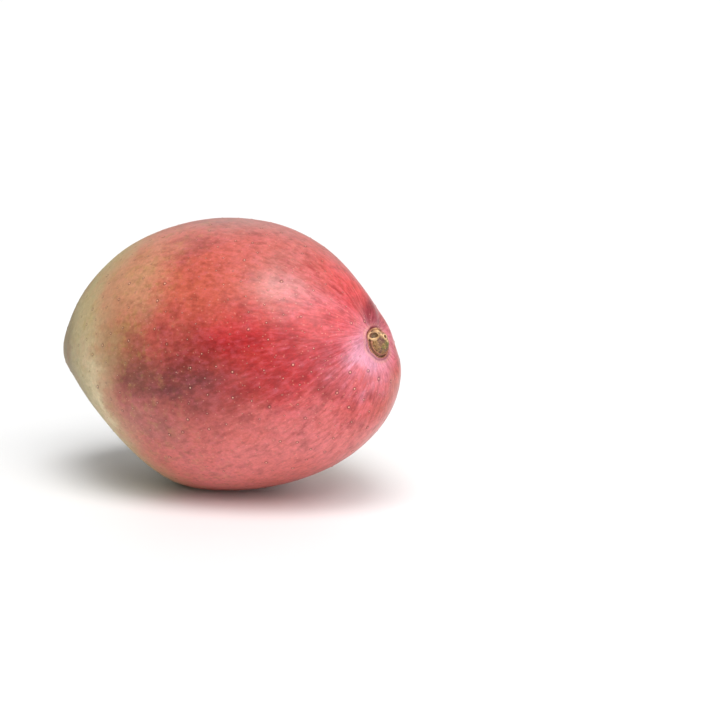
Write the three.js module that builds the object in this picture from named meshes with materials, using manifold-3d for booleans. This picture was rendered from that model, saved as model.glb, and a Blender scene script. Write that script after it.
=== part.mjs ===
// A ripe mango as picked, lying on its side on a small flat spot.
// The fruit is one solid. The woody stub of its stalk sits in the shallow hollow at the stem end.
import * as THREE from "three";
import { mergeVertices } from "three/addons/utils/BufferGeometryUtils.js";
import Module from "manifold-3d";

const { degToRad, radToDeg } = THREE.MathUtils;

// Fruit, in millimetres. Its own frame has +X to the stem, +Y to the back and +Z to one cheek.
const halfLength = 61;
const halfDepth = 44.4; // back to belly
const halfCheek = 42.3; // cheek to cheek
const stemEndPower = 1.1; // of the sine that gives the girth: over 1 is more pointed
const tipEndPower = 1.07;
const tipEndSwell = 0.05; // how much wider the tip's half is than the stem's
const sidesAround = 64;
const stepsAlong = 48;

// Landforms of the fruit: soft swellings, and hollows with a rise under zero. In degrees,
// "along" runs from the long axis at the stem (0) to the one at the tip (180), and "around" from
// the back (0) over the near cheek (90) to the belly (180). A higher edge gives a crisper rim.
const stemPlace = { along: 9, around: 60 };
const landforms = [
  { name: "beak", along: 167.5, around: 127, spread: 18, rise: 3.9, edge: 2 },
  { name: "sinus under the beak", along: 141, around: 168, spread: 29, rise: -6.4, edge: 3 },
  { name: "belly shoulder", along: 36, around: 200, spread: 31, rise: 2.8, edge: 2 },
  { name: "slope of the back", along: 43, around: -31, spread: 30.5, rise: -5.1, edge: 2 },
  { name: "stem hollow", ...stemPlace, spread: 12, rise: -2.5, edge: 2 },
];
const puckerCount = 7; // shallow folds that run out from the stem
const puckerSpread = 16;
const puckerRise = 0.3;

// How it lies: turned about its long axis, with the stem end raised, on a flat spot.
const backUp = 64.4; // degrees that the back is turned up from level with the ground
const stemEndLift = 6.5;
const footDepth = 0.9; // how much of the round underside the flat spot takes off

// Stub, in millimetres. Its own frame has +Z out of the fruit, +X to the fruit's back and +Y to
// the near cheek.
const seatGap = 0.3; // clearance between the stub and the skin
const rootDepth = 4; // how far its pieces run down, before the skin's shape is cut away
const stumpRadius = 3.3;
const stumpHeight = 3.2;
const stumpStretch = 1.12; // longer towards the back than across
const collarRadius = 4.9;
const collarHeight = 1.5;
const collarWidth = 0.8;
const grooveHeight = 1.0;
const knobRise = 0.2; // bumps on the broken wood
const sockets = [ // the cups that two broken branchlets left: the place of each rim, and its lean
  { back: 1.4, near: 3.0, up: 2.3, lean: 45, outer: 1.75, inner: 1.15, depth: 1.3 },
  { back: 1.9, near: -1.3, up: 3.25, lean: 15, outer: 1.3, inner: 0.6, depth: 0.9 },
];

const wasm = await Module();
wasm.setup();

function solidOf(geometry) {
  const bare = geometry.clone();
  bare.deleteAttribute("normal");
  bare.deleteAttribute("uv");
  const merged = mergeVertices(bare, 1e-4);
  return new wasm.Manifold(new wasm.Mesh({
    numProp: 3,
    vertProperties: new Float32Array(merged.attributes.position.array),
    triVerts: new Uint32Array(merged.index.array),
  }));
}

function geometryOf(solid) {
  const { numProp, vertProperties, triVerts } = solid.getMesh();
  const geometry = new THREE.BufferGeometry();
  const positions = new Float32Array((vertProperties.length / numProp) * 3);
  for (let i = 0; i < positions.length / 3; i += 1) {
    positions.set(vertProperties.subarray(i * numProp, i * numProp + 3), i * 3);
  }
  geometry.setAttribute("position", new THREE.BufferAttribute(positions, 3));
  geometry.setIndex(new THREE.BufferAttribute(new Uint32Array(triVerts), 1));
  geometry.computeVertexNormals();
  return geometry;
}

function directionOn(along, around) {
  const s = Math.sin(degToRad(along));
  const turn = degToRad(around);
  return new THREE.Vector3(Math.cos(degToRad(along)), s * Math.cos(turn), s * Math.sin(turn));
}

// The stem's own compass: out of the fruit, towards the back, and towards the near cheek.
const stemOut = directionOn(stemPlace.along, stemPlace.around);
const stemNear = new THREE.Vector3().crossVectors(stemOut, new THREE.Vector3(0, 1, 0)).normalize();
const stemBack = new THREE.Vector3().crossVectors(stemNear, stemOut);

// The fruit's skin in one direction from its centre: a swollen ellipsoid with its landforms.
function skinPoint(direction) {
  const c = direction.x;
  const s = Math.hypot(direction.y, direction.z);
  const around = Math.atan2(direction.z, direction.y);
  const power = stemEndPower + (tipEndPower - stemEndPower) * (1 - c) / 2;
  const girth = s ** power * (1 - tipEndSwell * c);
  const point = new THREE.Vector3(
    halfLength * c,
    halfDepth * girth * Math.cos(around),
    halfCheek * girth * Math.sin(around),
  );
  for (const form of landforms) {
    const centre = directionOn(form.along, form.around);
    const gap = radToDeg(direction.angleTo(centre));
    point.addScaledVector(centre, form.rise * Math.exp(-((gap / form.spread) ** form.edge)));
  }
  const fromStem = radToDeg(direction.angleTo(stemOut)) / puckerSpread;
  const pucker = puckerRise * fromStem ** 2 * Math.exp(1 - fromStem ** 2);
  const turn = Math.atan2(direction.dot(stemNear), direction.dot(stemBack));
  return point.addScaledVector(direction, pucker * Math.cos(puckerCount * turn));
}

// A closed ball of points on the skin. One pole of the ball lies on the stem.
function fruitSkin(outwards = 0) {
  const ball = new THREE.SphereGeometry(1, sidesAround, stepsAlong);
  ball.applyMatrix4(new THREE.Matrix4().makeBasis(stemBack, stemOut, stemNear.clone().negate()));
  const place = ball.attributes.position;
  const direction = new THREE.Vector3();
  for (let i = 0; i < place.count; i += 1) {
    const skin = skinPoint(direction.fromBufferAttribute(place, i));
    place.setXYZ(i, skin.x, skin.y, skin.z);
  }
  ball.deleteAttribute("uv");
  ball.deleteAttribute("normal");
  const skin = mergeVertices(ball, 1e-4);
  skin.computeVertexNormals();
  const point = new THREE.Vector3();
  const normal = new THREE.Vector3();
  for (let i = 0; i < skin.attributes.position.count; i += 1) {
    point.fromBufferAttribute(skin.attributes.position, i);
    normal.fromBufferAttribute(skin.attributes.normal, i);
    point.addScaledVector(normal, outwards);
    skin.attributes.position.setXYZ(i, point.x, point.y, point.z);
  }
  return skin;
}

// The flat spot: a block that takes the lowest part of the lying fruit away.
function groundBlock(skin, lying) {
  const lowest = skin.clone().applyMatrix4(lying);
  lowest.computeBoundingBox();
  const size = 4 * halfLength;
  const block = new THREE.BoxGeometry(size, size, size);
  block.translate(0, 0, lowest.boundingBox.min.z + footDepth - size / 2);
  return block.applyMatrix4(lying.clone().invert());
}

function lyingTurn() {
  const turn = new THREE.Euler(degToRad(backUp), degToRad(-stemEndLift), 0, "YXZ");
  return new THREE.Quaternion().setFromEuler(turn);
}

// Where the stub sits: the middle of the stem hollow, with +Z square to the skin round it.
function stemSeat() {
  const ringAngle = degToRad(8);
  const ringPoint = (side) => skinPoint(
    stemOut.clone().multiplyScalar(Math.cos(ringAngle)).addScaledVector(side, Math.sin(ringAngle)));
  const toBack = ringPoint(stemBack).sub(ringPoint(stemBack.clone().negate())).normalize();
  const toNear = ringPoint(stemNear).sub(ringPoint(stemNear.clone().negate()));
  const outward = new THREE.Vector3().crossVectors(toBack, toNear).normalize();
  toNear.crossVectors(outward, toBack);
  const seat = new THREE.Matrix4().makeBasis(toBack, toNear, outward);
  return seat.setPosition(skinPoint(stemOut));
}

function turned(points, sides) {
  const outline = points.map(([x, y]) => new THREE.Vector2(x, y));
  return new THREE.LatheGeometry(outline, sides).rotateX(Math.PI / 2);
}

// The domed stump of broken wood.
function stump() {
  const r = stumpRadius;
  const h = stumpHeight;
  const dome = turned([
    [0, -rootDepth], [r, -rootDepth], [r, h * 0.35], [r * 0.97, h * 0.6],
    [r * 0.84, h * 0.82], [r * 0.55, h * 0.96], [r * 0.25, h], [0, h],
  ], 32);
  const place = dome.attributes.position;
  for (let i = 0; i < place.count; i += 1) {
    const [x, y, z] = [place.getX(i), place.getY(i), place.getZ(i)];
    const knob = knobRise * Math.sin(1.9 * x + 0.6) * Math.cos(1.6 * y - 0.4);
    place.setXYZ(i, x * stumpStretch, y, z > 0 ? z + knob * (z / h) : z);
  }
  return dome;
}

// The corky collar: a thin plate with a raised lip, and a groove between it and the stump.
function collar() {
  const inner = collarRadius - collarWidth;
  return turned([
    [0, -rootDepth], [collarRadius, -rootDepth], [collarRadius + 0.1, collarHeight * 0.6],
    [collarRadius - 0.1, collarHeight * 0.9], [collarRadius - collarWidth / 2, collarHeight],
    [inner, collarHeight * 0.85], [inner - 0.25, grooveHeight], [0, grooveHeight],
  ], 36);
}

// A socket's own shapes have the middle of the rim at their origin and +Z out of the cup.
function socketPlace({ back, near, up, lean }) {
  const side = new THREE.Vector3(back, near, 0).normalize();
  const tiltAxis = new THREE.Vector3(0, 0, 1).cross(side);
  const place = new THREE.Matrix4().makeRotationAxis(tiltAxis, degToRad(lean));
  return place.setPosition(back, near, up);
}

function socketWall(form) {
  const wall = turned([
    [0, -form.up], [form.outer * 1.15, -form.up], [form.outer, -0.5],
    [form.outer - 0.12, -0.15], [(form.outer + form.inner) / 2, 0], [0, 0],
  ], 20);
  return wall.applyMatrix4(socketPlace(form));
}

function socketPit(form) {
  const above = 1;
  const pit = turned([
    [0, -form.depth], [form.inner * 0.45, -form.depth], [form.inner * 0.85, -form.depth * 0.6],
    [form.inner, -0.15], [form.inner + 0.2, above], [0, above],
  ], 20);
  return pit.applyMatrix4(socketPlace(form));
}

function stemStub(seat) {
  let wood = solidOf(stump()).add(solidOf(collar()));
  for (const form of sockets) wood = wood.add(solidOf(socketWall(form)));
  for (const form of sockets) wood = wood.subtract(solidOf(socketPit(form)));
  const skin = fruitSkin(seatGap).applyMatrix4(seat.clone().invert());
  return wood.subtract(solidOf(skin));
}

const lying = new THREE.Matrix4().makeRotationFromQuaternion(lyingTurn());
const skin = fruitSkin();
const seat = stemSeat();

const fruit = new THREE.Mesh(
  geometryOf(solidOf(skin).subtract(solidOf(groundBlock(skin, lying)))),
  new THREE.MeshStandardMaterial({ color: 0xb84a4c, roughness: 0.42, metalness: 0 }),
);
fruit.name = "mango_fruit";

const stub = new THREE.Mesh(
  geometryOf(stemStub(seat)),
  new THREE.MeshStandardMaterial({ color: 0x84683f, roughness: 0.7, metalness: 0 }),
);
stub.name = "stem_stub";
stub.applyMatrix4(seat);

const lyingFruit = new THREE.Group();
lyingFruit.add(fruit, stub);
lyingFruit.quaternion.copy(lyingTurn());

// The origin is on the ground, under the middle of the whole mango.
const mango = new THREE.Group();
mango.add(lyingFruit);
mango.updateMatrixWorld(true);
const bounds = new THREE.Box3().setFromObject(lyingFruit, true);
const middle = bounds.getCenter(new THREE.Vector3());
lyingFruit.position.set(-middle.x, -middle.y, -bounds.min.z);

export default mango;
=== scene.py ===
from math import cos, degrees, exp, hypot, atan2, pi, radians, sin

import bmesh
import bpy
from mathutils import Euler, Matrix, Vector, noise


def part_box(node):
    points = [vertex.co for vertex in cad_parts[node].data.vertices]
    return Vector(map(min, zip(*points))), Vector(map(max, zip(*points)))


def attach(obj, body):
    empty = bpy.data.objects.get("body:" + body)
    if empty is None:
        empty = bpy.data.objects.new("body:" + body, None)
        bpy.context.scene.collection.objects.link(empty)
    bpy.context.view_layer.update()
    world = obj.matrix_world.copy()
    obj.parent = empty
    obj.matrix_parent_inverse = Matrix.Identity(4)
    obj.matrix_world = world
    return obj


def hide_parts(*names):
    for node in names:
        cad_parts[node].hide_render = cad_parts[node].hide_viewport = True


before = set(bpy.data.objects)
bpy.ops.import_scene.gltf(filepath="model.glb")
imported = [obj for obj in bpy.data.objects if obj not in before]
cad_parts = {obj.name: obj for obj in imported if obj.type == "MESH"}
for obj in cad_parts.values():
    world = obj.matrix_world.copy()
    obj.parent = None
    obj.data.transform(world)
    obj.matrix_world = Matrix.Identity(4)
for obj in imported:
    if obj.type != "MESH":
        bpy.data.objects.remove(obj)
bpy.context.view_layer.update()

# The fruit. Skin and flesh grew as one firm piece, with a beak and a sinus at the tip and a
# shallow hollow at the stem. It lies on a small flat spot. Sizes are in metres, angles in degrees.
# Its own frame has +X to the stem, +Y to the back and +Z to the cheek that is seen first.
half_length = 0.061
half_depth = 0.0444
half_cheek = 0.0423
stem_end_power = 1.1
tip_end_power = 1.07
tip_end_swell = 0.05
stem_place = dict(along=9, around=60)
# Each landform has its middle and its spread in degrees, its rise, and how steep its edge is.
landforms = (
    dict(name="beak", along=167.5, around=127, spread=18, rise=0.0039, edge=2),
    dict(name="sinus under the beak", along=141, around=168, spread=29, rise=-0.0064, edge=3),
    dict(name="belly shoulder", along=36, around=200, spread=31, rise=0.0028, edge=2),
    dict(name="slope of the back", along=43, around=-31, spread=30.5, rise=-0.0051, edge=2),
    dict(name="stem hollow", spread=12, rise=-0.0025, edge=2, **stem_place),
)
pucker_count = 7
pucker_spread = 16
pucker_rise = 0.0003
back_up = 64.4
stem_end_lift = 6.5
foot_depth = 0.0009

# Finer relief than the solid has: the lip of skin and the trench round the stub, the seat under
# it, each with its place or width in degrees from the stem, and the skin's faint swells and dimples.
lip_place = 7.9
lip_width = 0.9
lip_rise = 0.00045
trench_place = 6.85
trench_width = 0.55
trench_depth = 0.0004
seat_width = 6.2
seat_depth = 0.0008
swell_size = 0.021
swell_rise = 0.00022
dimple_size = 0.0052
dimple_rise = 0.00005
rows = 264
columns = 320
rows_at_stem = 0.36  # the spacing of the first rows, where that of even rows is 1


def direction_on(along, around):
    """The way to a place in degrees: along from +X, and round +X from the back."""
    side = sin(radians(along))
    turn = radians(around)
    return Vector((cos(radians(along)), side * cos(turn), side * sin(turn)))


stem_out = direction_on(**stem_place)
stem_near = stem_out.cross(Vector((0, 1, 0))).normalized()
stem_back = stem_near.cross(stem_out)
for form in landforms:
    form["centre"] = direction_on(form["along"], form["around"])


def skin_point(direction):
    """Where the skin lies in this direction, in the fruit's own frame."""
    lengthwise = direction.x
    sideways = hypot(direction.y, direction.z)
    around = atan2(direction.z, direction.y)
    power = stem_end_power + (tip_end_power - stem_end_power) * (1 - lengthwise) / 2
    girth = sideways ** power * (1 - tip_end_swell * lengthwise)
    point = Vector((
        half_length * lengthwise,
        half_depth * girth * cos(around),
        half_cheek * girth * sin(around),
    ))
    for form in landforms:
        gap = degrees(direction.angle(form["centre"])) / form["spread"]
        point += form["centre"] * (form["rise"] * exp(-gap ** form["edge"]))
    from_stem = degrees(direction.angle(stem_out)) / pucker_spread
    pucker = pucker_rise * from_stem ** 2 * exp(1 - from_stem ** 2)
    turn = atan2(direction.dot(stem_near), direction.dot(stem_back))
    return point + direction * (pucker * cos(pucker_count * turn))


def fine_relief(direction, from_stem):
    """How far the skin stands out past the plain form."""
    lip = lip_rise * exp(-((from_stem - lip_place) / lip_width) ** 2)
    trench = trench_depth * exp(-((from_stem - trench_place) / trench_width) ** 2)
    point = direction * half_length
    swell = swell_rise * noise.noise(point / swell_size)
    dimple = dimple_rise * noise.noise(point / dimple_size)
    seat = seat_depth * exp(-(from_stem / seat_width) ** 8)
    return lip - trench - seat + swell + dimple


def stem_ring(from_stem, turn):
    """The way that is this many degrees from the stem, at this turn round it."""
    side = stem_back * cos(turn) + stem_near * sin(turn)
    return stem_out * cos(radians(from_stem)) + side * sin(radians(from_stem))


def ball_of_skin():
    points = [skin_point(stem_out)]
    for row in range(1, rows):
        share = row / rows
        from_stem = 180 * (rows_at_stem * share + (1 - rows_at_stem) * share * share)
        for column in range(columns):
            direction = stem_ring(from_stem, 2 * pi * column / columns)
            relief = fine_relief(direction, from_stem)
            points.append(skin_point(direction) + direction * relief)
    points.append(skin_point(-stem_out))
    faces = []
    for column in range(columns):
        beside = (column + 1) % columns
        faces.append((0, 1 + column, 1 + beside))
        for row in range(rows - 2):
            upper = 1 + row * columns
            lower = upper + columns
            faces.append((upper + column, lower + column, lower + beside, upper + beside))
        last = 1 + (rows - 2) * columns
        faces.append((last + column, len(points) - 1, last + beside))
    return points, faces


lying = Euler((radians(back_up), 0, 0)).to_matrix()
lying = Matrix.Rotation(radians(-stem_end_lift), 3, "Y") @ lying
points, faces = ball_of_skin()
points = [lying @ point for point in points]
foot = min(point.z for point in points) + foot_depth
for point in points:
    point.z = max(point.z, foot)

# The fruit is set in the solid's own box, so it stands exactly where the solid does.
low, high = (Vector(corner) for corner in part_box("mango_fruit"))
fine_low = Vector([min(point[axis] for point in points) for axis in range(3)])
fine_high = Vector([max(point[axis] for point in points) for axis in range(3)])
fit = Vector([(high - low)[axis] / (fine_high - fine_low)[axis] for axis in range(3)])
fruit_middle = low - fine_low * fit
points = [low + (point - fine_low) * fit for point in points]

fruit_mesh = bpy.data.meshes.new("mango_skin")
fruit_mesh.from_pydata(points, [], faces)
fruit_mesh.shade_smooth()
fruit = bpy.data.objects.new("mango_skin", fruit_mesh)
bpy.context.collection.objects.link(fruit)


def paint(red, green, blue):
    """A colour for the shaders, from its steps of 255 on a screen."""
    channels = [value / 255 for value in (red, green, blue)]
    return tuple([((value + 0.055) / 1.055) ** 2.4 if value > 0.04045 else value / 12.92
                  for value in channels] + [1])


class Shade:
    """One socket of a tree of nodes. A sum written on it adds its Math nodes."""

    def __init__(self, tree, socket=None):
        self.tree = tree
        self.socket = socket

    def node(self, kind, settings=None, values=None, output=0):
        made = self.tree.nodes.new(kind)
        for name, value in (settings or {}).items():
            setattr(made, name, value)
        for name, value in (values or {}).items():
            if isinstance(value, Shade):
                self.tree.links.new(value.socket, made.inputs[name])
            else:
                made.inputs[name].default_value = value
        return Shade(self.tree, made.outputs[output])

    def math(self, operation, *others):
        values = dict(enumerate((self, *others)))
        return self.node("ShaderNodeMath", {"operation": operation}, values)

    def vector(self, operation, *others, output=0):
        values = dict(enumerate((self, *others)))
        return self.node("ShaderNodeVectorMath", {"operation": operation}, values, output)

    def scaled(self, factor):
        return self.node("ShaderNodeVectorMath", {"operation": "SCALE"},
                         {0: self, "Scale": factor})

    def __add__(self, other):
        return self.math("ADD", other)

    def __sub__(self, other):
        return self.math("SUBTRACT", other)

    def __mul__(self, other):
        return self.math("MULTIPLY", other)

    def __truediv__(self, other):
        return self.math("DIVIDE", other)

    def __pow__(self, other):
        return self.math("POWER", other)

    def __radd__(self, other):
        return self + other

    def __rsub__(self, other):
        return self * -1 + other

    def __rmul__(self, other):
        return self * other

    def soft_step(self, low, high):
        return self.node("ShaderNodeMapRange", {"interpolation_type": "SMOOTHSTEP"},
                         {"Value": self, "From Min": low, "From Max": high})

    def mix(self, under, over):
        """Two colours, with this much of the one that lies over the other."""
        return self.node("ShaderNodeMix", {"data_type": "RGBA"}, {0: self, 6: under, 7: over}, 2)

    def cloud(self, size, detail=2, rough=0.5, output=0):
        """Noise over this place, in blots of about this size."""
        return self.node("ShaderNodeTexNoise", None, {
            "Vector": self, "Scale": 1 / size, "Detail": detail, "Roughness": rough}, output)

    def upright(self):
        return self.node("ShaderNodeCombineXYZ", None, {"Z": self})


def new_material(name):
    material = bpy.data.materials.new(name)
    material.use_nodes = True
    return material, Shade(material.node_tree), material.node_tree.nodes["Principled BSDF"]


# Colours of the ripe skin: the tip, the shoulder, the belly, the reds, the darks and the bloom,
# then the far cheek and the pores.
sage = paint(190, 182, 136)
olive_tip = paint(118, 98, 56)
painted_sinus_highlight = paint(232, 216, 172)
sunburnt_olive = paint(152, 112, 74)
tan_orange = paint(198, 148, 110)
brown = paint(112, 58, 40)
coral = paint(190, 88, 64)
salmon = paint(200, 90, 84)
belly_pink_and_bounce_light = paint(216, 120, 118)
dusty_rose = paint(168, 100, 92)
crimson = paint(170, 16, 20)
rose = paint(188, 22, 32)
rose_light = paint(212, 58, 64)
blood_red = paint(138, 12, 18)
maroon = paint(88, 22, 18)
plum = paint(86, 34, 42)
wine = paint(116, 30, 42)
grey_bloom_and_painted_sheen = paint(172, 124, 114)
bloom_pink_and_painted_highlight = paint(222, 116, 132)
lilac = paint(222, 158, 180)
gold_green = paint(170, 146, 74)
pore_cream = paint(230, 180, 150)
pore_ring_and_trench_shade = paint(76, 30, 28)

# Soft spots of colour, each with its place and its reach in degrees, its colour and its strength.
# "along" is counted from the stem (0) to the tip (180), and "around" the stem, from the back (0)
# over the cheek that is seen first (90) to the belly (180).
spots = (
    ("far cheek, out of the sun", 88, -85, 46, 58, gold_green, 0.8),
    ("belly beyond the foot", 60, -150, 40, 30, salmon, 0.7),
    # Painted bounce light: the pink of the belly is lighter, as the floor lights the underside.
    ("pink of the belly", 35, 178, 22, 28, belly_pink_and_bounce_light, 0.85),
    # Grey wax bloom on the back, partly a painted sheen along the top of the fruit.
    ("grey bloom on the back", 74, 26, 26, 15, grey_bloom_and_painted_sheen, 0.75),
    ("coral shoulder", 66, 76, 25, 20, coral, 0.8),
    ("rust on the shoulder", 60, 92, 9, 6, brown, 0.35),
    ("rust by the olive", 88, 88, 9, 7, brown, 0.4),
    ("orange below the tip", 97, 72, 15, 28, tan_orange, 0.9),
    ("red shoulder by the stem", 16, 50, 11, 46, rose_light, 0.8),
    # A pale streak on the shoulder that also carries a painted highlight, where the shine spreads
    # towards the stem.
    ("pale streak on the shoulder", 21, 64, 10, 5, bloom_pink_and_painted_highlight, 0.6),
    # Painted highlight: a pale grey patch where the soft box shines on the shoulder.
    ("painted highlight on the shoulder", 32, 61, 14, 13, grey_bloom_and_painted_sheen, 0.6),
    ("crimson heart", 43, 107, 23, 13, crimson, 0.95),
    ("crimson by the stem", 25, 116, 12, 20, rose, 0.9),
    ("rose flank", 28, 142, 14, 13, rose, 0.9),
    ("wine streak on the flank", 42, 130, 15, 8, crimson, 0.9),
    ("bright red by the maroon", 51, 100, 9, 10, rose_light, 0.4),
    ("deep red by the highlight", 25, 110, 8, 6, blood_red, 0.6),
    ("deep red under the bloom", 21, 150, 6, 7, blood_red, 0.6),
    ("maroon field", 70, 110, 19, 10, maroon, 0.65),
    ("brown below the olive", 93, 110, 11, 13, brown, 0.85),
    ("sunburnt olive", 107, 103, 9, 14, sunburnt_olive, 0.85),
    ("maroon shade", 78, 120, 19, 9, maroon, 0.8),
    ("plum smear", 68, 123, 14, 4, plum, 0.4),
    ("dusk under the maroon", 62, 132, 19, 10, maroon, 0.46),
    ("dusk on the back", 74, 54, 9, 7, plum, 0.4),
    ("dusty rose near the tip", 97, 134, 12, 10, dusty_rose, 0.8),
    ("shade below the maroon", 84, 142, 12, 9, dusty_rose, 0.5),
    # Painted bounce light: these pinks on the underside are lightened as the floor would light them.
    ("pink below the tip", 84, 168, 18, 16, belly_pink_and_bounce_light, 0.75),
    ("pink by the foot", 62, 168, 12, 12, belly_pink_and_bounce_light, 0.5),
    ("pink under the flank", 32, 162, 12, 9, belly_pink_and_bounce_light, 0.45),
    # Orange at the rim by the stem, partly a painted warm reflection.
    ("orange rim by the stem", 18, -132, 7, 10, coral, 0.75),
    ("red rim by the stem", 12, -104, 5, 9, crimson, 0.7),
)
# Spots that go over the tip's own colours and over the bloom, and where the bloom lies once more.
tip_spots = (
    ("gold on the far side of the tip", 146, -85, 30, 62, gold_green, 0.6),
    # Painted highlight: a pale streak along the edge of the sinus.
    ("painted highlight along the sinus", 120.5, 121, 4, 18, painted_sinus_highlight, 0.65),
)
stem_spots = (
    ("wine by the stem", 6.5, -22, 6, 3.5, wine, 0.85),
)
bloom_on_the_belly = (11, 165, 6, 10)

# Where the skin changes on its way from the stem to the tip, in degrees: the first and the last.
streaks_fade = (18, 74)
gold_comes = (56, 96)
blush_fades = (84, 118)
gloss_fades = (95, 140)
sage_comes = (96, 129)
olive_comes = (126, 147)

# Rings round the stub, in millimetres: the bloom's fading, and the place and softness of the rest.
bloom_fades = (5, 13)
trench_ring, trench_softness = 5.35, 0.35
lip_ring, lip_softness = 6.1, 0.45

# Sizes of the skin's marks, and how far the blush wanders, in millimetres.
drift_size, drift_reach = 15, 19
ripple_reach = 9
blotch_size = 6
fleck_size = 3.2
grain_size = 1.1
speck_spacing = 1.5
# Long marks lie on a map of the skin as a tube of this radius, and of this length for each degree
# from the stem. Their sizes and the streaks' drift are in the map's own units.
meridians_round, meridians_out = 26, 0.27
spokes_round, spokes_out = 9, 0.17
ripple_size = 1.2
mottle_size = 1
streak_size, streak_drift = 1, 4

skin, at, skin_shader = new_material("ripe_mango_skin")
millimetres = 1000
millimetre = 1 / millimetres
compass = Matrix((stem_back, stem_near, stem_out))
stub_seat = compass @ skin_point(stem_out) * millimetres
place = at.node("ShaderNodeMapping", {"vector_type": "TEXTURE"}, {
    "Vector": at.node("ShaderNodeTexCoord", output="Object"), "Location": fruit_middle,
    "Rotation": (lying @ compass.transposed()).to_euler(), "Scale": [millimetre] * 3,
})

# A place on the skin, in millimetres from the fruit's middle and in degrees from the stem. Spots
# read a place that wanders, because the edges of the blush are ragged.
middle = (0.5, 0.5, 0.5)
ring = place.vector("MULTIPLY", (1, 1, 0)).vector("NORMALIZE")
from_stem = place.vector("NORMALIZE").vector("DOT_PRODUCT", (0, 0, 1), output="Value")
from_stem = from_stem.math("ARCCOSINE") * degrees(1)
meridian = ring.vector("MULTIPLY_ADD", (meridians_round, meridians_round, 0),
                       (from_stem * meridians_out).upright())
drift = place.cloud(drift_size, 3, output=1).vector("SUBTRACT", middle)
ripple = meridian.cloud(ripple_size, 3, 0.6, output=1).vector("SUBTRACT", middle)
wandered = drift.vector("MULTIPLY_ADD", [drift_reach] * 3, place)
wandered = ripple.vector("MULTIPLY_ADD", [ripple_reach] * 3, wandered).vector("NORMALIZE")
wandered_from_stem = wandered.vector("DOT_PRODUCT", (0, 0, 1), output="Value")
wandered_from_stem = wandered_from_stem.math("ARCCOSINE") * degrees(1)


def spot(along, around, reach_along, reach_around):
    """How much a place is in a soft oval: 1 in its middle, fading past its reach."""
    side = sin(radians(along))
    centre = (side * cos(radians(around)), side * sin(radians(around)), cos(radians(along)))
    offset = (wandered_from_stem - along) / reach_along
    level = (offset * radians(reach_along)).math("COSINE")
    across = (level - wandered.vector("DOT_PRODUCT", centre, output="Value")) * 2
    across = across / radians(reach_around) ** 2
    return ((across + offset * offset) * -1).math("EXPONENT")


def spotted(colour, spots):
    for _, along, around, reach_along, reach_around, hue, strength in spots:
        colour = (spot(along, around, reach_along, reach_around) * strength).mix(colour, hue)
    return colour


colour = spotted(salmon, spots)
# The tip: sage, then olive, lighter on the side turned away, with a painted highlight along the
# sinus.
colour = (wandered_from_stem.soft_step(*sage_comes) * 0.92).mix(colour, sage)
colour = (wandered_from_stem.soft_step(*olive_comes) * 0.9).mix(colour, olive_tip)
colour = spotted(colour, tip_spots)

# Short streaks that run out from the stem, the bloom of wax that they break up, the painted shade in
# the skin's trench round the stub, and the pale lip beside it.
spokes = ring.vector("MULTIPLY_ADD", (spokes_round, spokes_round, 0),
                     (from_stem * spokes_out).upright())
spokes = drift.vector("MULTIPLY_ADD", [streak_drift] * 3, spokes)
streak = spokes.cloud(streak_size, 4, 0.65)
streaked = 1 - from_stem.soft_step(*streaks_fade)
colour = (streak.soft_step(0.50, 0.76) * streaked * 0.36).mix(colour, bloom_pink_and_painted_highlight)
colour = ((1 - streak.soft_step(0.28, 0.56)) * streaked * 0.62).mix(colour, blood_red)
from_stub = place.vector("DISTANCE", stub_seat, output="Value")
bloom = (1 - from_stub.soft_step(*bloom_fades)) * (streak * 0.9)
bloom = bloom + spot(*bloom_on_the_belly) * (streak + 0.3)
bloom = bloom.math("MINIMUM", 0.85)
colour = bloom.mix(colour, lilac)
# Painted shade: the trench round the stub is darkened.
trench = (from_stub - trench_ring) / trench_softness
colour = ((trench * trench * -1).math("EXPONENT") * (streak + 0.1)).mix(colour, pore_ring_and_trench_shade)
lip = (from_stub - lip_ring) / lip_softness
colour = ((lip * lip * -1).math("EXPONENT") * streak * 0.6).mix(colour, tan_orange)
colour = spotted(colour, stem_spots)

# Mottling along the meridians, and the fine grain of the skin.
mottle = meridian.cloud(mottle_size, 4, 0.65)
blotch = place.cloud(blotch_size, 5, 0.6)
grain = place.cloud(grain_size, 5, 0.7)
reddened = 1 - wandered_from_stem.soft_step(*blush_fades)
fleck = place.cloud(fleck_size, 4, 0.65)
golden = fleck.soft_step(0.48, 0.72) * wandered_from_stem.soft_step(*gold_comes)
colour = (golden * 0.34).mix(colour, gold_green)
colour = (blotch.soft_step(0.45, 0.75) * 0.20).mix(colour, coral)
colour = ((1 - blotch.soft_step(0.28, 0.54)) * reddened * 0.30).mix(colour, maroon)
colour = (mottle.soft_step(0.44, 0.76) * (0.06 + reddened * 0.16)).mix(colour, bloom_pink_and_painted_highlight)
colour = ((1 - mottle.soft_step(0.28, 0.56)) * (0.06 + reddened * 0.24)).mix(colour, maroon)
lightness = 0.62 + grain * 0.76
colour = colour.scaled(lightness)

# Faint pores as specks of colour, and the corky ones, which carry their own attributes.
speck = place.node("ShaderNodeTexVoronoi", None, {
    "Vector": place, "Scale": 1 / speck_spacing})
colour = ((1 - speck.soft_step(0.08, 0.18)) * 0.25).mix(colour, pore_cream)
pore = at.node("ShaderNodeAttribute", {"attribute_name": "pore"}, output="Fac")
pore_shade = at.node("ShaderNodeAttribute", {"attribute_name": "pore_shade"}, output="Fac")
pore_ring = pore.soft_step(0.05, 0.40) * (1 - pore.soft_step(0.55, 0.75))
colour = (pore_ring * 0.48).mix(colour, pore_ring_and_trench_shade)
colour = (pore.soft_step(0.60, 0.85) * (pore_shade * 0.6 + 0.35)).mix(colour, pore_cream)
at.tree.links.new(colour.socket, skin_shader.inputs["Base Color"])

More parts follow.
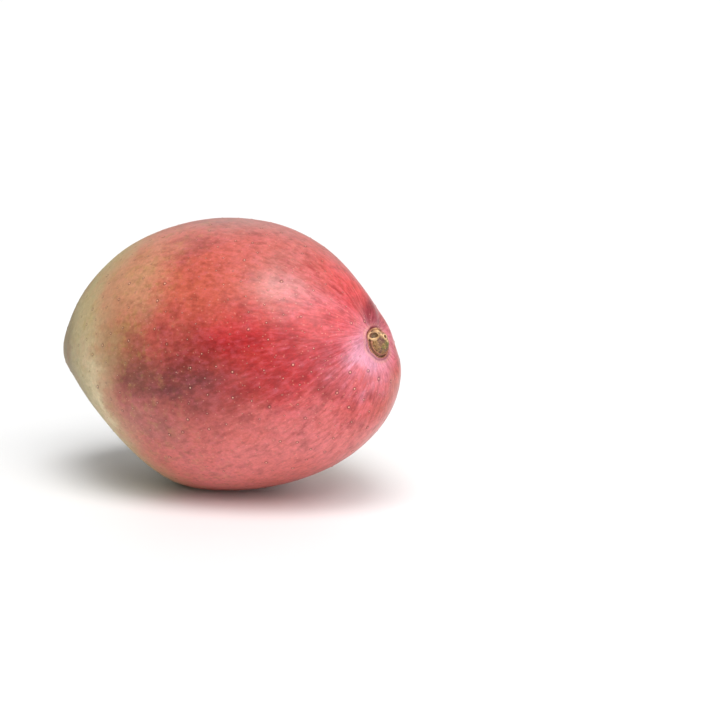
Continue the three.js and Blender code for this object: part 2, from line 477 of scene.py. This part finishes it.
rough = 0.24 + grain * 0.12 + bloom * 0.15 + pore * 0.2
rough = rough + from_stem.soft_step(*gloss_fades) * 0.2
at.tree.links.new(rough.socket, skin_shader.inputs["Roughness"])
bump = at.node("ShaderNodeBump", None, {
    "Height": grain * 0.5 + mottle * 0.5, "Strength": 0.3, "Distance": 0.0002})
at.tree.links.new(bump.socket, skin_shader.inputs["Normal"])
skin_shader.inputs["IOR"].default_value = 1.45
skin_shader.inputs["Subsurface Weight"].default_value = 0.05
skin_shader.inputs["Subsurface Radius"].default_value = (0.004, 0.0015, 0.001)
skin_shader.inputs["Subsurface Scale"].default_value = 0.6
fruit_mesh.materials.append(skin)
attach(fruit, "root")
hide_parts("mango_fruit")

# The pores. Each is a corky dot in the skin, pale in the middle with a darker ring, and stands a
# hair above the skin. They are scattered all over but for the hollow at the stem.
pore_spacing = 0.0051
pore_smallest = 0.00035
pore_largest = 0.00095
pore_rise = 0.15
pore_sink = 0.03
pore_hollowness = 1.6  # over 1 has a wide brim and a small top
pore_rarity = 2.2  # over 1 has few large ones
pore_sides = 9
pore_steps = 4
most_pores = 1e6  # for each square metre, before they are thinned to their spacing
clear_of_stem = 0.0075
scatter_seed = 5


def pore_tree():
    tree = bpy.data.node_groups.new("pores_of_the_skin", "GeometryNodeTree")
    ports = (("Skin", "NodeSocketGeometry"), ("Spacing", "NodeSocketFloat"),
             ("Smallest", "NodeSocketFloat"), ("Largest", "NodeSocketFloat"),
             ("Stem", "NodeSocketVector"), ("Clear of stem", "NodeSocketFloat"),
             ("Seed", "NodeSocketInt"), ("Material", "NodeSocketMaterial"))
    for name, kind in ports:
        tree.interface.new_socket(name, in_out="INPUT", socket_type=kind)
    tree.interface.new_socket("Pores", in_out="OUTPUT", socket_type="NodeSocketGeometry")
    inputs = tree.nodes.new("NodeGroupInput")
    given = {name: Shade(tree, inputs.outputs[name]) for name, _ in ports}
    start = Shade(tree)

    # One pore: a cone in rings, pressed into a low dot with a wide brim.
    dot_place = start.node("GeometryNodeInputPosition")
    height = start.node("ShaderNodeSeparateXYZ", None, {0: dot_place}, "Z")
    cone = start.node("GeometryNodeMeshCone", None, {
        "Vertices": pore_sides, "Side Segments": pore_steps, "Radius Top": 0,
        "Radius Bottom": 1, "Depth": 1})
    marked = start.node("GeometryNodeStoreNamedAttribute", {"data_type": "FLOAT"}, {
        "Geometry": cone, "Name": "pore", "Value": height})
    pressed = height ** pore_hollowness * pore_rise - (1 - height) * pore_sink - height
    dot = start.node("GeometryNodeSetPosition", None, {
        "Geometry": marked, "Offset": pressed.upright()})

    # Scattered over the skin, but for the hollow at the stem.
    from_stub = start.node("GeometryNodeInputPosition").vector(
        "DISTANCE", given["Stem"], output="Value")
    outside = from_stub.math("GREATER_THAN", given["Clear of stem"])
    scatter = start.node("GeometryNodeDistributePointsOnFaces", {"distribute_method": "POISSON"}, {
        "Mesh": given["Skin"], "Distance Min": given["Spacing"], "Density Max": most_pores,
        "Density Factor": outside, "Seed": given["Seed"]})
    rotation = Shade(tree, scatter.socket.node.outputs["Rotation"])
    chance = start.node("FunctionNodeRandomValue", None, {8: given["Seed"]}, 1)
    rarely = chance ** pore_rarity
    size = given["Smallest"] + (given["Largest"] - given["Smallest"]) * rarely
    placed = start.node("GeometryNodeInstanceOnPoints", None, {
        "Points": scatter, "Instance": dot, "Rotation": rotation, "Scale": size})
    shade = start.node("FunctionNodeRandomValue", None, {8: given["Seed"] + 1}, 1)
    shaded = start.node("GeometryNodeStoreNamedAttribute", {
        "data_type": "FLOAT", "domain": "INSTANCE",
    }, {"Geometry": placed, "Name": "pore_shade", "Value": shade})
    realized = start.node("GeometryNodeRealizeInstances", None, {"Geometry": shaded})
    smooth = start.node("GeometryNodeSetShadeSmooth", None, {"Geometry": realized})
    coated = start.node("GeometryNodeSetMaterial", None, {
        "Geometry": smooth, "Material": given["Material"]})
    outputs = tree.nodes.new("NodeGroupOutput")
    tree.links.new(coated.socket, outputs.inputs["Pores"])
    return tree


def applied(thing):
    """Works a thing's modifiers into its mesh."""
    mesh = bpy.data.meshes.new_from_object(
        thing.evaluated_get(bpy.context.evaluated_depsgraph_get()))
    thing.modifiers.clear()
    thing.data = mesh


pores = bpy.data.objects.new("skin_pores", fruit_mesh.copy())
bpy.context.collection.objects.link(pores)
scattering = pores.modifiers.new("pores", "NODES")
scattering.node_group = pore_tree()
pore_inputs = {
    "Spacing": pore_spacing, "Smallest": pore_smallest, "Largest": pore_largest,
    "Stem": fruit_middle + lying @ skin_point(stem_out), "Clear of stem": clear_of_stem,
    "Seed": scatter_seed, "Material": skin,
}
for item in scattering.node_group.interface.items_tree:
    if item.name in pore_inputs:
        scattering[item.identifier] = pore_inputs[item.name]
applied(pores)
# No pore stands out of the fruit's own box.
for vertex in pores.data.vertices:
    vertex.co = [min(max(vertex.co[axis], low[axis]), high[axis]) for axis in range(3)]
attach(pores, "root")

# The stub of the stalk: broken wood in a corky collar, with the cups that two snapped branchlets
# left. It grew into the hollow at the stem end. Its own frame has +Z out of the fruit, +X to the
# back and +Y to the near cheek.
seat_ring = 8  # degrees from the stem, where the skin's slope turns the stub
root_depth = 0.004
stump_radius = 0.0034
stump_height = 0.0032
stump_stretch = 1.06
collar_radius = 0.0049
collar_height = 0.0016
collar_ledge = 0.00065
collar_width = 0.00115
groove_height = 0.0011
stump_rings = 13
stump_squareness = 0.55  # under 1 has steeper sides than a ball
stump_shoulder = 0.25  # where its dome starts, as a share of its height
stump_sides = 48
collar_sides = 64
socket_sides = 40
rough_voxel = 0.00014
fine_voxel = 0.00012
sockets = (
    dict(back=0.0014, near=0.0034, up=0.0021, lean=48, outer=0.00178, inner=0.0014, depth=0.0009),
    dict(back=0.0016, near=-0.0006, up=0.0033, lean=12, outer=0.0012, inner=0.0006, depth=0.0009),
)
# The grain of the broken wood: its height, and how many lumps of each kind make a metre.
grain_height = 0.00012
fibres_across = 1100
fibres_along = 2600
knobs = 620
knob_strength = 1.6  # where that of the fibres is 1
knob_shift = Vector((4, 1, 7))  # keeps the knobs from lying on the fibres
worn_patches = 420
worn_level, worn_swing = 0.75, 0.9
# How softly the pale rims and the painted shade in the groove fade.
rim_softness = 0.00026
groove_softness = 0.00022
# Where the broken wood is pale, with a painted glint at the first place, and where it is green:
# towards the back, to the near side, reach.
pale_and_glint_places = ((0.0020, 0.0009, 0.0005), (0.0036, 0.0008, 0.0010), (0.0005, -0.0017, 0.0004))
green_places = ((-0.0006, -0.0016, 0.0014), (0.0018, 0.0042, 0.0012), (-0.0020, 0.0002, 0.0006))


def stem_seat():
    """The skin's place under the stub, and the turn of the stub's own frame there."""
    to_back = skin_point(stem_ring(seat_ring, 0)) - skin_point(stem_ring(seat_ring, pi))
    to_near = skin_point(stem_ring(seat_ring, pi / 2)) - skin_point(stem_ring(seat_ring, -pi / 2))
    to_back.normalize()
    outward = to_back.cross(to_near).normalized()
    to_near = outward.cross(to_back)
    return skin_point(stem_out), Matrix((to_back, to_near, outward)).transposed()


def turned_solid(profile, sides, place):
    """A closed round solid from the radius and the height of each of its rings."""
    solid = bmesh.new()
    rings = []
    for radius, height in profile:
        count = sides if radius > 0 else 1
        rings.append([solid.verts.new(place @ Vector((
            radius * cos(2 * pi * side / count), radius * sin(2 * pi * side / count), height,
        ))) for side in range(count)])
    for lower, upper in zip(rings, rings[1:]):
        for side in range(sides):
            corners = [lower[side % len(lower)], lower[(side + 1) % len(lower)],
                       upper[(side + 1) % len(upper)], upper[side % len(upper)]]
            solid.faces.new(list(dict.fromkeys(corners)))
    bmesh.ops.recalc_face_normals(solid, faces=solid.faces)
    mesh = bpy.data.meshes.new("turned")
    solid.to_mesh(mesh)
    solid.free()
    made = bpy.data.objects.new("turned", mesh)
    bpy.context.collection.objects.link(made)
    return made


def socket_place(form):
    """The middle of a cup's rim, with +Z out of the cup."""
    side = Vector((form["back"], form["near"], 0)).normalized()
    tilt_axis = Vector((0, 0, 1)).cross(side)
    place = Matrix.Rotation(radians(form["lean"]), 4, tilt_axis)
    place.translation = (form["back"], form["near"], form["up"])
    return place


def stump_profile():
    steps = [(0, -root_depth), (stump_radius, -root_depth)]
    for step in range(stump_rings):
        slope = pi / 2 * step / stump_rings
        radius = stump_radius * cos(slope) ** stump_squareness
        height = stump_height * (stump_shoulder + (1 - stump_shoulder) * sin(slope))
        steps.append((radius, height))
    return steps + [(0, stump_height)]


def collar_profile():
    edge, top = collar_radius, collar_height
    ledge, inner = edge - collar_ledge, edge - collar_width
    return [(0, -root_depth), (edge, -root_depth), (edge, top * 0.45), (edge - 0.0002, top * 0.62),
            (edge - 0.0004, top * 0.55), (ledge + 0.0001, top * 0.3), (ledge - 0.0001, top * 0.3),
            (ledge - 0.00025, top * 0.9), (inner + 0.0001, top), (inner, top * 0.9),
            (inner - 0.0002, groove_height), (0, groove_height)]


def wall_profile(form):
    outer, inner = form["outer"], form["inner"]
    return [(0, -form["up"]), (outer * 1.15, -form["up"]), (outer, -0.0005),
            (outer - 0.00012, -0.00015), ((outer + inner) / 2, 0), (0, 0)]


def pit_profile(form):
    inner, depth = form["inner"], form["depth"]
    return [(0, -depth), (inner * 0.45, -depth), (inner * 0.85, -depth * 0.6),
            (inner, -0.00015), (inner + 0.0002, 0.001), (0, 0.001)]


def fuse(thing, voxel):
    """Melts a thing's solids into one closed skin."""
    remesh = thing.modifiers.new("fuse", "REMESH")
    remesh.mode = "VOXEL"
    remesh.voxel_size = voxel
    remesh.use_smooth_shade = True
    applied(thing)


def stem_wood():
    still = Matrix.Identity(4)
    stretched = Matrix.Diagonal((stump_stretch, 1, 1, 1))
    solids = [turned_solid(stump_profile(), stump_sides, stretched),
              turned_solid(collar_profile(), collar_sides, still)]
    for form in sockets:
        solids.append(turned_solid(wall_profile(form), socket_sides, socket_place(form)))
    joined = bmesh.new()
    for solid in solids:
        joined.from_mesh(solid.data)
        bpy.data.objects.remove(solid)
    mesh = bpy.data.meshes.new("stub_wood")
    joined.to_mesh(mesh)
    joined.free()
    wood = bpy.data.objects.new("stub_wood", mesh)
    bpy.context.collection.objects.link(wood)
    fuse(wood, rough_voxel)
    for form in sockets:
        pit = turned_solid(pit_profile(form), socket_sides, socket_place(form))
        cut = wood.modifiers.new("pit", "BOOLEAN")
        cut.operation = "DIFFERENCE"
        cut.solver = "MANIFOLD"
        cut.object = pit
        applied(wood)
        bpy.data.objects.remove(pit)
    fuse(wood, fine_voxel)
    return wood


def gap_to_rim(form, point):
    local = socket_place(form).inverted() @ point
    return hypot(hypot(local.x, local.y) - (form["outer"] + form["inner"]) / 2, local.z)


def in_pit(form, point):
    local = socket_place(form).inverted() @ point
    inside = hypot(local.x, local.y) < form["inner"] * 1.04
    return inside and -form["depth"] * 1.1 < local.z < -0.0001


# Painted light: the wall of a cup that the light falls on is painted paler.
def on_lit_wall(form, point):
    local = socket_place(form).inverted() @ point
    return in_pit(form, point) and local.x < -0.15 * form["inner"]


def near_places(places, point):
    return max(exp(-(((point.x - back) ** 2 + (point.y - side) ** 2) / reach ** 2))
               for back, side, reach in places)


# Each point of the wood is marked with how pale, corky, dark and green it is, and then moved by
# the grain. Its paleness holds painted glints and painted light on the cups' lit walls, and its
# dark is painted shade in the pits and the groove.
stub = stem_wood()
tints = {"pale_rim_and_glint": [], "lip_tint": [], "painted_pit_shade": [], "green_tint": []}
moved = []
for vertex in stub.data.vertices:
    point = vertex.co
    radius = hypot(point.x, point.y)
    rim_gap = min(gap_to_rim(form, point) for form in sockets)
    pit = any(in_pit(form, point) for form in sockets)
    on_collar = point.z < collar_height * 1.15
    lit = any(on_lit_wall(form, point) for form in sockets)
    groove_gap = (radius - collar_radius + collar_ledge) / groove_softness
    worn = worn_level + worn_swing * noise.noise(point * worn_patches)
    worn_rim = exp(-(rim_gap / rim_softness) ** 2) * worn
    # Pale worn rims and pale places, with painted glints and painted light on the cups' lit walls.
    pale = max(worn_rim, near_places(pale_and_glint_places, point), 0.8 * lit)
    tints["pale_rim_and_glint"].append(min(max(pale, 0), 1))
    tints["lip_tint"].append(float(on_collar and radius > collar_radius - collar_width - 0.0001))
    # Painted shade: the pits, but for their lit wall, and the groove in the collar are darkened.
    tints["painted_pit_shade"].append(max(0.75 * pit * (not lit), exp(-groove_gap ** 2) * on_collar))
    tints["green_tint"].append(near_places(green_places, point))
    fibre = noise.noise(Vector((
        point.x * fibres_across, point.y * fibres_across, point.z * fibres_along)))
    knob = noise.noise(point * knobs + knob_shift)
    rise = 0 if pit else grain_height * (fibre + knob_strength * knob)
    moved.append(point + vertex.normal * rise)
for vertex, point in zip(stub.data.vertices, moved):
    vertex.co = point
for name, values in tints.items():
    layer = stub.data.attributes.new(name, "FLOAT", "POINT")
    layer.data.foreach_set("value", values)

seat_point, seat_turn = stem_seat()
stub_to_part = Matrix.Translation(fruit_middle) @ (lying @ seat_turn).to_4x4()
stub_to_part.translation = fruit_middle + lying @ seat_point
stub.data.transform(stub_to_part)

wood_brown = paint(150, 112, 66)
wood_tan = paint(232, 190, 138)
wood_dark = paint(58, 34, 18)
wood_green = paint(100, 106, 44)
wood_plum = paint(108, 66, 58)
lip_brown = paint(178, 112, 88)
wood, at, wood_shader = new_material("broken_stalk_wood")
place = at.node("ShaderNodeMapping", {"vector_type": "TEXTURE"}, {
    "Vector": at.node("ShaderNodeTexCoord", output="Object"),
    "Location": stub_to_part.translation, "Rotation": stub_to_part.to_euler(),
    "Scale": [millimetre] * 3,
})
rim, lip, dark, green = [
    at.node("ShaderNodeAttribute", {"attribute_name": name}, output="Fac") for name in tints]
speckle = place.cloud(0.5, 4, 0.7)
patchy = place.cloud(2.0, 3)
colour = patchy.soft_step(0.38, 0.60).mix(wood_plum, wood_brown)
colour = (green * speckle.soft_step(0.30, 0.55)).mix(colour, wood_green)
colour = (lip * 0.85).mix(colour, lip_brown)
colour = (speckle.soft_step(0.55, 0.75) * 0.5).mix(colour, wood_tan)
colour = ((1 - speckle.soft_step(0.32, 0.52)) * 0.75).mix(colour, wood_dark)
# Painted shade in the pits and the groove.
colour = (dark * 0.85).mix(colour, wood_dark)
# Pale rims and places, with painted glints and painted light on the cups' lit walls.
colour = (rim * (speckle + 0.45)).math("MINIMUM", 1).mix(colour, wood_tan)
at.tree.links.new(colour.socket, wood_shader.inputs["Base Color"])
wood_rough = 0.6 - rim * 0.25
at.tree.links.new(wood_rough.socket, wood_shader.inputs["Roughness"])
bump = at.node("ShaderNodeBump", None, {
    "Height": speckle, "Strength": 0.8, "Distance": 0.00015})
at.tree.links.new(bump.socket, wood_shader.inputs["Normal"])
stub.data.materials.clear()
stub.data.materials.append(wood)
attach(stub, "root")
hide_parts("stem_stub")

# The floor: a wide pale table top with a faint gloss. It isn't part of the fruit.
floor_half = 6
floor_white = (0.87, 0.87, 0.87, 1)
floor_mesh = bpy.data.meshes.new("pale_floor")
floor_mesh.from_pydata([(-floor_half, -floor_half, 0), (floor_half, -floor_half, 0),
                        (floor_half, floor_half, 0), (-floor_half, floor_half, 0)],
                       [], [(0, 1, 2, 3)])
floor = bpy.data.objects.new("pale_floor", floor_mesh)
bpy.context.collection.objects.link(floor)
white, _, floor_shader = new_material("pale_table")
floor_shader.inputs["Base Color"].default_value = floor_white
floor_shader.inputs["Roughness"].default_value = 0.45
floor_mesh.materials.append(white)

# The light: a broad soft box overhead with a brighter core, a window in front and to the right of
# the camera, a wide bounce from behind, and a white room. Each has the way to where it stands, its
# strength and its width in degrees.
lights = (
    ("box_overhead", (0.34, -0.30, 0.89), 1.6, 50),
    ("box_core", (0.17, -0.19, 0.95), 1.1, 31),
    ("window_in_front", (0.84, -0.40, 0.37), 2.0, 76),
    ("bounce_behind", (-0.20, 0.72, 0.67), 0.6, 84),
)
room_strength = 0.17
for name, stands, strength, width in lights:
    lamp_data = bpy.data.lights.new(name, "SUN")
    lamp_data.energy = strength
    lamp_data.angle = radians(width)
    lamp = bpy.data.objects.new(name, lamp_data)
    lamp.rotation_euler = Vector(stands).to_track_quat("Z", "Y").to_euler()
    bpy.context.collection.objects.link(lamp)
world = bpy.data.worlds.new("white_room")
world.use_nodes = True
world.node_tree.nodes["Background"].inputs["Color"].default_value = (1, 1, 1, 1)
world.node_tree.nodes["Background"].inputs["Strength"].default_value = room_strength
bpy.context.scene.world = world
bpy.context.scene.view_settings.view_transform = "Standard"

# The camera stands where the photo was taken from. The picture is 720 pixels square, and the
# fruit's middle is left of and a little above the middle of it.
picture_size = 720
pixels_per_metre = 3080
camera_distance = 0.8
camera_yaw = 35.49
camera_elevation = 11.69
fruit_in_picture = (232.98, 352.64)
sensor_width = 36

focal_pixels = pixels_per_metre * camera_distance
yaw, tilt = radians(camera_yaw), radians(camera_elevation)
back = Vector((sin(yaw) * cos(tilt), -cos(yaw) * cos(tilt), sin(tilt)))
right = Vector((cos(yaw), sin(yaw), 0))
up = back.cross(right)
camera_data = bpy.data.cameras.new("camera")
camera_data.sensor_width = sensor_width
camera_data.lens = sensor_width * focal_pixels / picture_size
camera = bpy.data.objects.new("camera", camera_data)
camera.location = fruit_middle + back * camera_distance
to_right = (picture_size / 2 - fruit_in_picture[0]) / focal_pixels
to_below = (picture_size / 2 - fruit_in_picture[1]) / focal_pixels
aim = -back + right * to_right - up * to_below
camera.rotation_euler = aim.to_track_quat("-Z", "Y").to_euler()
bpy.context.collection.objects.link(camera)
bpy.context.scene.camera = camera
